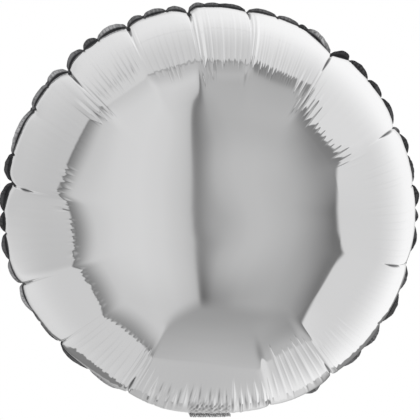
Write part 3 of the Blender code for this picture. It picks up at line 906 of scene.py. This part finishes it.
def room_in_front(sky, bearing, rise):
    """The walls, bright on the left of their corner, and the floor."""
    drop = sky.times(rise, -1.0)
    # The corner leans to the left further up, and again a little below
    above = sky.above_zero(sky.plus(rise, 4.0))
    drawn = sky.over(sky.times(above, CORNER_LEAN), sky.plus(above, CORNER_LEAN_RISE))
    under = sky.above_zero(sky.less(-6.0, rise))
    swing = sky.over(sky.times(under, CORNER_SWING), sky.plus(under, CORNER_SWING_DROP))
    from_corner = sky.less(bearing, sky.less(CORNER_BEARING, sky.plus(drawn, swing)))
    right_side = sky.between(from_corner, -1.0, 1.0)
    left_side = sky.between(from_corner, 1.0, -1.0)
    # Its shade on the right wall is wider further up
    stretch = sky.plus(1.0, sky.between(rise, -3.0, 17.0))
    right_part = sky.over(sky.above_zero(from_corner), stretch)
    walls = sky.ramp(sky.plus(sky.math("MINIMUM", from_corner, 0.0), right_part), WALLS)
    walls = sky.times(walls, sky.blend(sky.times(sky.between(rise, 4.0, 24.0), right_side), 1.0, 0.87))
    high_right = sky.times(sky.between(rise, 8.0, 30.0), sky.between(bearing, 4.0, 18.0))
    walls = sky.blend(high_right, walls, sky.ramp(rise, HIGH_RIGHT_WALL))
    walls = sky.times(walls, sky.blend(sky.times(sky.between(drop, 10.0, 30.0), left_side), 1.0, 0.885))
    walls = sky.blend(sky.between(rise, 46.0, 60.0), walls, HIGH_WALLS)
    low_right = sky.times(sky.between(drop, 6.0, 22.0), right_side)
    walls = sky.times(walls, sky.blend(low_right, 1.0, sky.ramp(bearing, LOW_RIGHT_SHARE, 1.2)))
    # Floor, darker far to the right
    far_right = sky.times(sky.between(bearing, 20.0, 46.0), sky.between(rise, -52.0, -36.0))
    floor = sky.times(sky.ramp(rise, ROOM_FLOOR), sky.blend(far_right, 1.0, 0.45))
    left_of = sky.above_zero(sky.times(bearing, -1.0))
    right_of = sky.above_zero(sky.less(bearing, 4.0))
    fall = sky.plus(sky.times(left_of, FLOOR_LINE_LEFT), sky.times(right_of, FLOOR_LINE_RIGHT))
    below_line = sky.less(sky.less(FLOOR_LINE, fall), rise)
    return sky.blend(sky.between(below_line, -3.5, 3.5), walls, floor)


def mirrored_light(sky):
    """The brightness that the film mirrors, by direction."""
    split = sky.node("ShaderNodeSeparateXYZ")
    sky.tree.links.new(sky.node("ShaderNodeTexCoord").outputs["Generated"], split.inputs[0])
    x, y, z = split.outputs
    degrees = 180.0 / math.pi
    front = sky.times(y, -1.0)
    bearing = sky.times(sky.math("ARCTAN2", x, front), degrees)
    rise = sky.times(sky.math("ARCSINE", z), degrees)
    turn = sky.times(sky.math("ARCTAN2", x, z), degrees)
    off = sky.times(sky.math("ARCCOSINE", front), degrees)
    past = sky.less(off, sky.ramp(turn, OPENING, 90.0))

    # The room, dark just inside its opening
    room = room_in_front(sky, bearing, rise)
    room = sky.shaded(room, sky.ramp(turn, FRINGE_SHADE), sky.between(past, -18.0, 0.0))
    room = sky.shaded(room, sky.ramp(turn, RIGHT_SHADE), sky.between(past, -30.0, 0.0))
    room = sky.shaded(room, sky.ramp(turn, SHELF_SHADE), sky.between(past, -14.0, -8.0))

    # The surroundings outside it, and what is behind
    near_ring, far_ring = sky.ramp(turn, NEAR_RING), sky.ramp(turn, FAR_RING)
    surround = sky.blend(sky.between(off, 74.0, 132.0), near_ring, far_ring)
    behind = sky.ramp(sky.times(sky.math("ARCTAN2", x, y), degrees), WALL_BEHIND)
    behind = sky.times(behind, sky.blend(sky.between(z, -0.5, 0.4), 0.78, 1.0))
    surround = sky.blend(sky.between(off, 148.0, 166.0), surround, behind)
    softness = sky.ramp(turn, OPENING_SOFTNESS, 4.0)
    seen = sky.blend(sky.between(sky.over(past, softness), -1.3, 1.3), room, surround)
    past_low = sky.less(off, sky.ramp(turn, LOW_EDGE, 180.0))
    seen = sky.shaded(seen, sky.ramp(turn, LOW_DARK), sky.between(past_low, -2.5, 1.5))

    # Thin dark edges
    outside = sky.less(1.0, sky.between(past, -0.4, 1.0))
    seen = sky.shaded(seen, sky.ramp(turn, EDGE_DARK), sky.between(past, -2.4, -1.0), outside)
    outer = sky.times(sky.between(off, 106.0, 107.5), sky.less(1.0, sky.between(off, 107.5, 109.0)))
    overhead = sky.times(sky.between(turn, -34.0, -26.0), sky.less(1.0, sky.between(turn, 24.0, 34.0)))
    return sky.shaded(seen, OUTER_EDGE_DARK, outer, overhead)


def paint_world():
    """The surroundings where the film mirrors them, and plain white where the camera sees them."""
    world = bpy.data.worlds.new("studio")
    bpy.context.scene.world = world
    world.use_nodes = True
    tree = world.node_tree
    tree.nodes.clear()
    sky = NumberNodes(tree)
    mirrored = sky.node("ShaderNodeBackground")
    tree.links.new(mirrored_light(sky), mirrored.inputs["Color"])
    plain = sky.node("ShaderNodeBackground")
    plain.inputs["Color"].default_value = (1.0, 1.0, 1.0, 1.0)
    choose = sky.node("ShaderNodeMixShader")
    tree.links.new(sky.node("ShaderNodeLightPath").outputs["Is Camera Ray"], choose.inputs[0])
    tree.links.new(mirrored.outputs[0], choose.inputs[1])
    tree.links.new(plain.outputs[0], choose.inputs[2])
    out = sky.node("ShaderNodeOutputWorld")
    tree.links.new(choose.outputs[0], out.inputs["Surface"])


paint_world()


# Floor: its height, and its radius round the balloon, in metres
FLOOR_LEVEL = -2.7
FLOOR_REACH = 5.4
FLOOR_SIDES = 96


def lay_floor():
    """A plain pale floor, which the film doesn't mirror: the world holds all that it mirrors."""
    turn = np.linspace(0.0, 2.0 * np.pi, FLOOR_SIDES, endpoint=False)
    x, y = FLOOR_REACH * np.cos(turn), FLOOR_REACH * np.sin(turn)
    points = np.stack([x, y, np.full(FLOOR_SIDES, FLOOR_LEVEL)], axis=-1)
    pale, _, _ = principled("floor", (0.90, 0.90, 0.90), 0.9, 0.0)
    piece = new_mesh("floor", points, [list(range(FLOOR_SIDES))], pale)
    piece.visible_glossy = False


lay_floor()


# Camera: its bearing and rise in degrees, distance and target in metres, and the pixels of the rim's radius
# and of the whole picture
CAMERA_BEARING = -4.5
CAMERA_RISE = 4.0
CAMERA_DISTANCE = 2.6
CAMERA_TARGET = (-0.0002, 0.0, 0.0020)
RIM_PIXELS = 205.7
FRAME_PIXELS = 420


def place_camera():
    bearing, rise = math.radians(CAMERA_BEARING), math.radians(CAMERA_RISE)
    away = (math.sin(bearing) * math.cos(rise), -math.cos(bearing) * math.cos(rise), math.sin(rise))
    lens = bpy.data.cameras.new("camera")
    lens.sensor_width = 36.0
    lens.lens = 36.0 / FRAME_PIXELS * RIM_PIXELS / (RIM_RADIUS / CAMERA_DISTANCE)
    camera = bpy.data.objects.new("camera", lens)
    bpy.context.scene.collection.objects.link(camera)
    camera.location = [t + CAMERA_DISTANCE * a for t, a in zip(CAMERA_TARGET, away)]
    camera.rotation_euler = (math.radians(90.0 - CAMERA_RISE), 0.0, math.radians(CAMERA_BEARING))
    bpy.context.scene.camera = camera


place_camera()
bpy.context.scene.view_settings.view_transform = "Standard"
